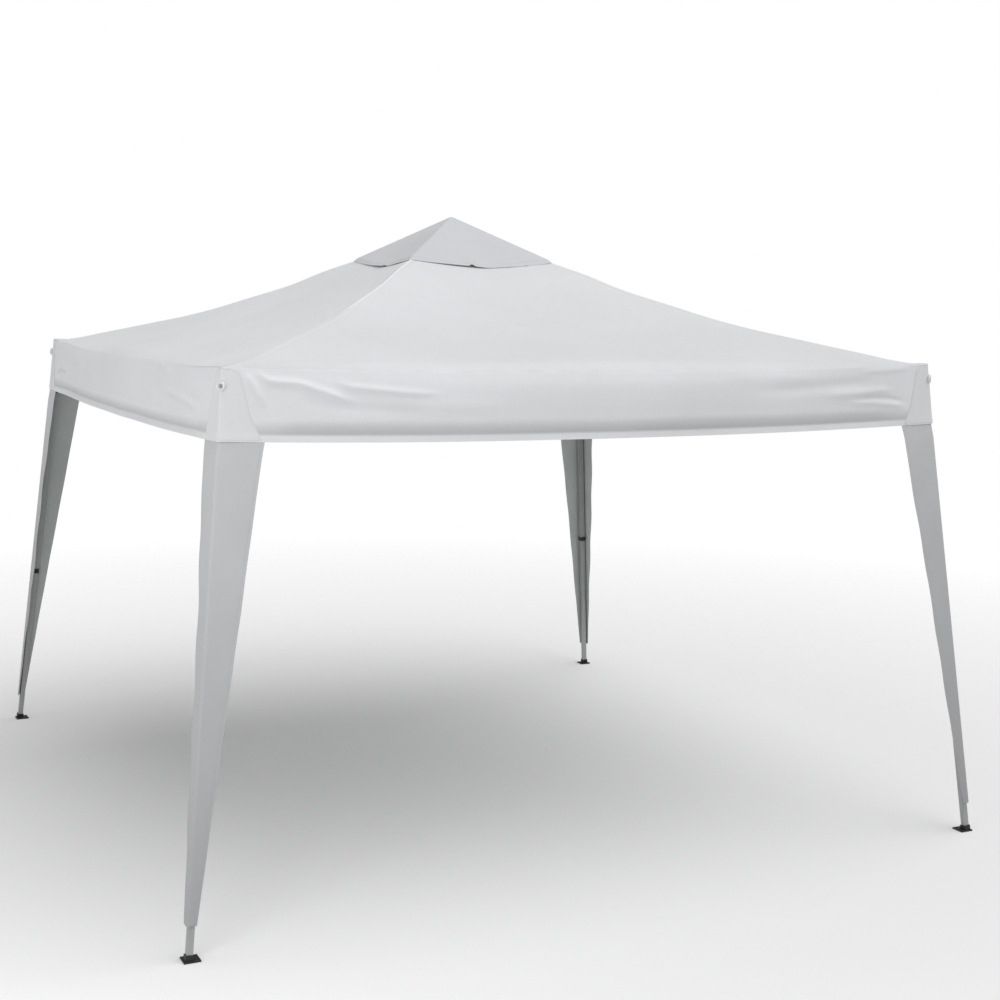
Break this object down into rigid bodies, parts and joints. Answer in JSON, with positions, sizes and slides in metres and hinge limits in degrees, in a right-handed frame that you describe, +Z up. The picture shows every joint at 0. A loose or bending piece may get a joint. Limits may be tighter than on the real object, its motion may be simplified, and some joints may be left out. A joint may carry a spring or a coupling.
{
  "type": "pop up gazebo",
  "caption": "Folding steel frame shelter with slanted legs, a hollow pyramid cloth roof with a vent cap, a short valance and cloth leg covers.",
  "frame": {"origin": "on the ground, below the peak", "axes": "+Z up, +X right and +Y to the rear, each square to two sides"},
  "size_m": [3.036, 3.036, 2.298],
  "materials": {
    "bar_steel": "powder coated, light grey",
    "leg_steel": "powder coated, light grey",
    "joint_plastic": "moulded nylon, black",
    "foot_plastic": "moulded nylon, black",
    "button_plastic": "moulded nylon, dark red",
    "roof_cloth": "coated polyester, off-white",
    "skirt_cloth": "coated polyester, off-white outside and grey inside"
  },
  "bodies": {
    "side_hub_front": {"side_hub_front": "joint_plastic"},
    "roof_bar_front": {"roof_bar_front": "bar_steel"},
    "roof_front": {"roof_front": "roof_cloth"},
    "hub_bar_front_left": {"hub_bar_front_left": "bar_steel"},
    "corner_bar_front_left": {"corner_bar_front_left": "bar_steel"},
    "hub_bar_front_right": {"hub_bar_front_right": "bar_steel"},
    "corner_bar_front_right": {"corner_bar_front_right": "bar_steel"},
    "side_hub_right": {"side_hub_right": "joint_plastic"},
    "roof_bar_right": {"roof_bar_right": "bar_steel"},
    "roof_right": {"roof_right": "roof_cloth"},
    "hub_bar_right_left": {"hub_bar_right_left": "bar_steel"},
    "corner_bar_right_left": {"corner_bar_right_left": "bar_steel"},
    "hub_bar_right_right": {"hub_bar_right_right": "bar_steel"},
    "corner_bar_right_right": {"corner_bar_right_right": "bar_steel"},
    "side_hub_rear": {"side_hub_rear": "joint_plastic"},
    "roof_bar_rear": {"roof_bar_rear": "bar_steel"},
    "roof_rear": {"roof_rear": "roof_cloth"},
    "hub_bar_rear_left": {"hub_bar_rear_left": "bar_steel"},
    "corner_bar_rear_left": {"corner_bar_rear_left": "bar_steel"},
    "hub_bar_rear_right": {"hub_bar_rear_right": "bar_steel"},
    "corner_bar_rear_right": {"corner_bar_rear_right": "bar_steel"},
    "side_hub_left": {"side_hub_left": "joint_plastic"},
    "roof_bar_left": {"roof_bar_left": "bar_steel"},
    "roof_left": {"roof_left": "roof_cloth"},
    "hub_bar_left_left": {"hub_bar_left_left": "bar_steel"},
    "corner_bar_left_left": {"corner_bar_left_left": "bar_steel"},
    "hub_bar_left_right": {"hub_bar_left_right": "bar_steel"},
    "corner_bar_left_right": {"corner_bar_left_right": "bar_steel"},
    "corner_front_right": {"corner_bracket_front_right": "joint_plastic", "skirt_front_right": "skirt_cloth"},
    "slider_front_right": {"slider_front_right": "joint_plastic"},
    "slider_button_front_right": {"slider_button_front_right": "button_plastic"},
    "leg_upper_front_right": {"leg_upper_front_right": "leg_steel"},
    "leg_lower_front_right": {"leg_lower_front_right": "leg_steel", "foot_front_right": "foot_plastic"},
    "corner_rear_right": {"corner_bracket_rear_right": "joint_plastic", "skirt_rear_right": "skirt_cloth"},
    "slider_rear_right": {"slider_rear_right": "joint_plastic"},
    "slider_button_rear_right": {"slider_button_rear_right": "button_plastic"},
    "leg_upper_rear_right": {"leg_upper_rear_right": "leg_steel"},
    "leg_lower_rear_right": {"leg_lower_rear_right": "leg_steel", "foot_rear_right": "foot_plastic"},
    "corner_rear_left": {"corner_bracket_rear_left": "joint_plastic", "skirt_rear_left": "skirt_cloth"},
    "slider_rear_left": {"slider_rear_left": "joint_plastic"},
    "slider_button_rear_left": {"slider_button_rear_left": "button_plastic"},
    "leg_upper_rear_left": {"leg_upper_rear_left": "leg_steel"},
    "leg_lower_rear_left": {"leg_lower_rear_left": "leg_steel", "foot_rear_left": "foot_plastic"},
    "corner_front_left": {"corner_bracket_front_left": "joint_plastic", "skirt_front_left": "skirt_cloth"},
    "slider_front_left": {"slider_front_left": "joint_plastic"},
    "slider_button_front_left": {"slider_button_front_left": "button_plastic"},
    "leg_upper_front_left": {"leg_upper_front_left": "leg_steel"},
    "leg_lower_front_left": {"leg_lower_front_left": "leg_steel", "foot_front_left": "foot_plastic"},
    "centre_hub": {"centre_hub": "joint_plastic", "peak_pole": "leg_steel", "vent_cap": "roof_cloth"}
  },
  "joints": [
    {"name": "frame_fold", "type": "hinge", "parent": "side_hub_front", "child": "hub_bar_front_left", "pos_m": [0, -1.32679, 1.715], "axis": [0, -1, 0], "range_deg": [0, 76.36], "deforming": ["roof_front", "roof_right", "roof_rear", "roof_left", "skirt_front_right", "skirt_rear_right", "skirt_rear_left", "skirt_front_left", "vent_cap"]},
    {"name": "corner_bar_front_left_turn", "type": "hinge", "parent": "hub_bar_front_left", "child": "corner_bar_front_left", "pos_m": [-0.63339, -1.32679, 1.63], "axis": [0, 1, 0], "range_deg": [0, 152.72]},
    {"name": "corner_front_left_turn", "type": "hinge", "parent": "corner_bar_front_left", "child": "corner_front_left", "pos_m": [-1.26679, -1.32679, 1.715], "axis": [0, -1, 0], "range_deg": [0, 76.36]},
    {"name": "slider_front_left_turn", "type": "hinge", "parent": "hub_bar_front_left", "child": "slider_front_left", "pos_m": [-1.26679, -1.32679, 1.545], "axis": [0, 1, 0], "range_deg": [0, 76.36]},
    {"name": "hub_bar_front_right_turn", "type": "hinge", "parent": "side_hub_front", "child": "hub_bar_front_right", "pos_m": [0, -1.32679, 1.715], "axis": [0, 1, 0], "range_deg": [0, 76.36]},
    {"name": "corner_bar_front_right_turn", "type": "hinge", "parent": "hub_bar_front_right", "child": "corner_bar_front_right", "pos_m": [0.63339, -1.32679, 1.63], "axis": [0, -1, 0], "range_deg": [0, 152.72]},
    {"name": "corner_front_right_turn", "type": "hinge", "parent": "corner_bar_front_right", "child": "corner_front_right", "pos_m": [1.26679, -1.32679, 1.715], "axis": [0, 1, 0], "range_deg": [0, 76.36]},
    {"name": "slider_front_right_turn", "type": "hinge", "parent": "hub_bar_front_right", "child": "slider_front_right", "pos_m": [1.26679, -1.32679, 1.545], "axis": [0, -1, 0], "range_deg": [0, 76.36]},
    {"name": "corner_bar_left_right_turn", "type": "hinge", "parent": "corner_front_left", "child": "corner_bar_left_right", "pos_m": [-1.32679, -1.26679, 1.715], "axis": [-1, 0, 0], "range_deg": [0, 76.36]},
    {"name": "hub_bar_left_right_turn", "type": "hinge", "parent": "corner_bar_left_right", "child": "hub_bar_left_right", "pos_m": [-1.32679, -0.63339, 1.63], "axis": [1, 0, 0], "range_deg": [0, 152.72]},
    {"name": "side_hub_left_turn", "type": "hinge", "parent": "hub_bar_left_right", "child": "side_hub_left", "pos_m": [-1.32679, 0, 1.715], "axis": [-1, 0, 0], "range_deg": [0, 76.36]},
    {"name": "hub_bar_left_left_turn", "type": "hinge", "parent": "side_hub_left", "child": "hub_bar_left_left", "pos_m": [-1.32679, 0, 1.715], "axis": [-1, 0, 0], "range_deg": [0, 76.36]},
    {"name": "corner_bar_left_left_turn", "type": "hinge", "parent": "hub_bar_left_left", "child": "corner_bar_left_left", "pos_m": [-1.32679, 0.63339, 1.63], "axis": [1, 0, 0], "range_deg": [0, 152.72]},
    {"name": "corner_rear_left_turn", "type": "hinge", "parent": "corner_bar_left_left", "child": "corner_rear_left", "pos_m": [-1.32679, 1.26679, 1.715], "axis": [-1, 0, 0], "range_deg": [0, 76.36]},
    {"name": "slider_rear_left_turn", "type": "hinge", "parent": "hub_bar_left_left", "child": "slider_rear_left", "pos_m": [-1.32679, 1.26679, 1.545], "axis": [1, 0, 0], "range_deg": [0, 76.36]},
    {"name": "corner_bar_right_left_turn", "type": "hinge", "parent": "corner_front_right", "child": "corner_bar_right_left", "pos_m": [1.32679, -1.26679, 1.715], "axis": [-1, 0, 0], "range_deg": [0, 76.36]},
    {"name": "hub_bar_right_left_turn", "type": "hinge", "parent": "corner_bar_right_left", "child": "hub_bar_right_left", "pos_m": [1.32679, -0.63339, 1.63], "axis": [1, 0, 0], "range_deg": [0, 152.72]},
    {"name": "side_hub_right_turn", "type": "hinge", "parent": "hub_bar_right_left", "child": "side_hub_right", "pos_m": [1.32679, 0, 1.715], "axis": [-1, 0, 0], "range_deg": [0, 76.36]},
    {"name": "hub_bar_right_right_turn", "type": "hinge", "parent": "side_hub_right", "child": "hub_bar_right_right", "pos_m": [1.32679, 0, 1.715], "axis": [-1, 0, 0], "range_deg": [0, 76.36]},
    {"name": "corner_bar_right_right_turn", "type": "hinge", "parent": "hub_bar_right_right", "child": "corner_bar_right_right", "pos_m": [1.32679, 0.63339, 1.63], "axis": [1, 0, 0], "range_deg": [0, 152.72]},
    {"name": "corner_rear_right_turn", "type": "hinge", "parent": "corner_bar_right_right", "child": "corner_rear_right", "pos_m": [1.32679, 1.26679, 1.715], "axis": [-1, 0, 0], "range_deg": [0, 76.36]},
    {"name": "slider_rear_right_turn", "type": "hinge", "parent": "hub_bar_right_right", "child": "slider_rear_right", "pos_m": [1.32679, 1.26679, 1.545], "axis": [1, 0, 0], "range_deg": [0, 76.36]},
    {"name": "corner_bar_rear_right_turn", "type": "hinge", "parent": "corner_rear_left", "child": "corner_bar_rear_right", "pos_m": [-1.26679, 1.32679, 1.715], "axis": [0, 1, 0], "range_deg": [0, 76.36]},
    {"name": "hub_bar_rear_right_turn", "type": "hinge", "parent": "corner_bar_rear_right", "child": "hub_bar_rear_right", "pos_m": [-0.63339, 1.32679, 1.63], "axis": [0, -1, 0], "range_deg": [0, 152.72]},
    {"name": "side_hub_rear_turn", "type": "hinge", "parent": "hub_bar_rear_right", "child": "side_hub_rear", "pos_m": [0, 1.32679, 1.715], "axis": [0, 1, 0], "range_deg": [0, 76.36]},
    {"name": "corner_bar_rear_left_turn", "type": "hinge", "parent": "corner_rear_right", "child": "corner_bar_rear_left", "pos_m": [1.26679, 1.32679, 1.715], "axis": [0, -1, 0], "range_deg": [0, 76.36]},
    {"name": "hub_bar_rear_left_turn", "type": "hinge", "parent": "corner_bar_rear_left", "child": "hub_bar_rear_left", "pos_m": [0.63339, 1.32679, 1.63], "axis": [0, 1, 0], "range_deg": [0, 152.72]},
    {"name": "roof_bar_front_turn", "type": "hinge", "parent": "side_hub_front", "child": "roof_bar_front", "pos_m": [0, -1.29479, 1.715], "axis": [-1, 0, 0], "range_deg": [0, 76.36]},
    {"name": "roof_front_drop", "type": "hinge", "parent": "side_hub_front", "child": "roof_front", "pos_m": [0, -1.32279, 1.752], "axis": [-1, 0, 0], "range_deg": [0, 112]},
    {"name": "roof_bar_right_turn", "type": "hinge", "parent": "side_hub_right", "child": "roof_bar_right", "pos_m": [1.29479, 0, 1.715], "axis": [0, -1, 0], "range_deg": [0, 76.36]},
    {"name": "roof_right_drop", "type": "hinge", "parent": "side_hub_right", "child": "roof_right", "pos_m": [1.32279, 0, 1.752], "axis": [0, -1, 0], "range_deg": [0, 112]},
    {"name": "roof_bar_rear_turn", "type": "hinge", "parent": "side_hub_rear", "child": "roof_bar_rear", "pos_m": [0, 1.29479, 1.715], "axis": [1, 0, 0], "range_deg": [0, 76.36]},
    {"name": "roof_rear_drop", "type": "hinge", "parent": "side_hub_rear", "child": "roof_rear", "pos_m": [0, 1.32279, 1.752], "axis": [1, 0, 0], "range_deg": [0, 112]},
    {"name": "roof_bar_left_turn", "type": "hinge", "parent": "side_hub_left", "child": "roof_bar_left", "pos_m": [-1.29479, 0, 1.715], "axis": [0, 1, 0], "range_deg": [0, 76.36]},
    {"name": "roof_left_drop", "type": "hinge", "parent": "side_hub_left", "child": "roof_left", "pos_m": [-1.32279, 0, 1.752], "axis": [0, 1, 0], "range_deg": [0, 112]},
    {"name": "centre_hub_turn", "type": "hinge", "parent": "roof_bar_front", "child": "centre_hub", "pos_m": [0, -0.028, 1.545], "axis": [1, 0, 0], "range_deg": [0, 76.36]},
    {"name": "leg_front_right_lean", "type": "hinge", "parent": "corner_front_right", "child": "leg_upper_front_right", "pos_m": [1.32679, -1.32679, 1.715], "axis": [0.7071, 0.7071, 0], "range_deg": [0, 7.04]},
    {"name": "leg_front_right_telescope", "type": "slide", "parent": "leg_upper_front_right", "child": "leg_lower_front_right", "axis": [-0.1, 0.1, 0.99], "range_m": [0, 0.36]},
    {"name": "slider_button_front_right_press", "type": "slide", "parent": "slider_front_right", "child": "slider_button_front_right", "axis": [0, -1, 0], "range_m": [0, 0.004], "stiffness_N_per_m": 800, "springref_m": -0.003},
    {"name": "leg_rear_right_lean", "type": "hinge", "parent": "corner_rear_right", "child": "leg_upper_rear_right", "pos_m": [1.32679, 1.32679, 1.715], "axis": [-0.7071, 0.7071, 0], "range_deg": [0, 7.04]},
    {"name": "leg_rear_right_telescope", "type": "slide", "parent": "leg_upper_rear_right", "child": "leg_lower_rear_right", "axis": [-0.1, -0.1, 0.99], "range_m": [0, 0.36]},
    {"name": "slider_button_rear_right_press", "type": "slide", "parent": "slider_rear_right", "child": "slider_button_rear_right", "axis": [1, 0, 0], "range_m": [0, 0.004], "stiffness_N_per_m": 800, "springref_m": -0.003},
    {"name": "leg_rear_left_lean", "type": "hinge", "parent": "corner_rear_left", "child": "leg_upper_rear_left", "pos_m": [-1.32679, 1.32679, 1.715], "axis": [-0.7071, -0.7071, 0], "range_deg": [0, 7.04]},
    {"name": "leg_rear_left_telescope", "type": "slide", "parent": "leg_upper_rear_left", "child": "leg_lower_rear_left", "axis": [0.1, -0.1, 0.99], "range_m": [0, 0.36]},
    {"name": "slider_button_rear_left_press", "type": "slide", "parent": "slider_rear_left", "child": "slider_button_rear_left", "axis": [0, 1, 0], "range_m": [0, 0.004], "stiffness_N_per_m": 800, "springref_m": -0.003},
    {"name": "leg_front_left_lean", "type": "hinge", "parent": "corner_front_left", "child": "leg_upper_front_left", "pos_m": [-1.32679, -1.32679, 1.715], "axis": [0.7071, -0.7071, 0], "range_deg": [0, 7.04]},
    {"name": "leg_front_left_telescope", "type": "slide", "parent": "leg_upper_front_left", "child": "leg_lower_front_left", "axis": [0.1, 0.1, 0.99], "range_m": [0, 0.36]},
    {"name": "slider_button_front_left_press", "type": "slide", "parent": "slider_front_left", "child": "slider_button_front_left", "axis": [-1, 0, 0], "range_m": [0, 0.004], "stiffness_N_per_m": 800, "springref_m": -0.003}
  ],
  "couplings": [
    {"joint": "corner_bar_front_left_turn", "follows": "frame_fold", "ratio": 2},
    {"joint": "corner_front_left_turn", "follows": "frame_fold", "ratio": 1},
    {"joint": "slider_front_left_turn", "follows": "frame_fold", "ratio": 1},
    {"joint": "hub_bar_front_right_turn", "follows": "frame_fold", "ratio": 1},
    {"joint": "corner_bar_front_right_turn", "follows": "frame_fold", "ratio": 2},
    {"joint": "corner_front_right_turn", "follows": "frame_fold", "ratio": 1},
    {"joint": "slider_front_right_turn", "follows": "frame_fold", "ratio": 1},
    {"joint": "corner_bar_left_right_turn", "follows": "frame_fold", "ratio": 1},
    {"joint": "hub_bar_left_right_turn", "follows": "frame_fold", "ratio": 2},
    {"joint": "side_hub_left_turn", "follows": "frame_fold", "ratio": 1},
    {"joint": "hub_bar_left_left_turn", "follows": "frame_fold", "ratio": 1},
    {"joint": "corner_bar_left_left_turn", "follows": "frame_fold", "ratio": 2},
    {"joint": "corner_rear_left_turn", "follows": "frame_fold", "ratio": 1},
    {"joint": "slider_rear_left_turn", "follows": "frame_fold", "ratio": 1},
    {"joint": "corner_bar_right_left_turn", "follows": "frame_fold", "ratio": 1},
    {"joint": "hub_bar_right_left_turn", "follows": "frame_fold", "ratio": 2},
    {"joint": "side_hub_right_turn", "follows": "frame_fold", "ratio": 1},
    {"joint": "hub_bar_right_right_turn", "follows": "frame_fold", "ratio": 1},
    {"joint": "corner_bar_right_right_turn", "follows": "frame_fold", "ratio": 2},
    {"joint": "corner_rear_right_turn", "follows": "frame_fold", "ratio": 1},
    {"joint": "slider_rear_right_turn", "follows": "frame_fold", "ratio": 1},
    {"joint": "corner_bar_rear_right_turn", "follows": "frame_fold", "ratio": 1},
    {"joint": "hub_bar_rear_right_turn", "follows": "frame_fold", "ratio": 2},
    {"joint": "side_hub_rear_turn", "follows": "frame_fold", "ratio": 1},
    {"joint": "corner_bar_rear_left_turn", "follows": "frame_fold", "ratio": 1},
    {"joint": "hub_bar_rear_left_turn", "follows": "frame_fold", "ratio": 2},
    {"joint": "roof_bar_front_turn", "follows": "frame_fold", "ratio": 1},
    {"joint": "roof_front_drop", "follows": "frame_fold", "ratio": 1.4668},
    {"joint": "roof_bar_right_turn", "follows": "frame_fold", "ratio": 1},
    {"joint": "roof_right_drop", "follows": "frame_fold", "ratio": 1.4668},
    {"joint": "roof_bar_rear_turn", "follows": "frame_fold", "ratio": 1},
    {"joint": "roof_rear_drop", "follows": "frame_fold", "ratio": 1.4668},
    {"joint": "roof_bar_left_turn", "follows": "frame_fold", "ratio": 1},
    {"joint": "roof_left_drop", "follows": "frame_fold", "ratio": 1.4668},
    {"joint": "centre_hub_turn", "follows": "frame_fold", "ratio": 1},
    {"joint": "leg_front_right_lean", "follows": "frame_fold", "ratio": 0.09213},
    {"joint": "leg_rear_right_lean", "follows": "frame_fold", "ratio": 0.09213},
    {"joint": "leg_rear_left_lean", "follows": "frame_fold", "ratio": 0.09213},
    {"joint": "leg_front_left_lean", "follows": "frame_fold", "ratio": 0.09213}
  ]
}
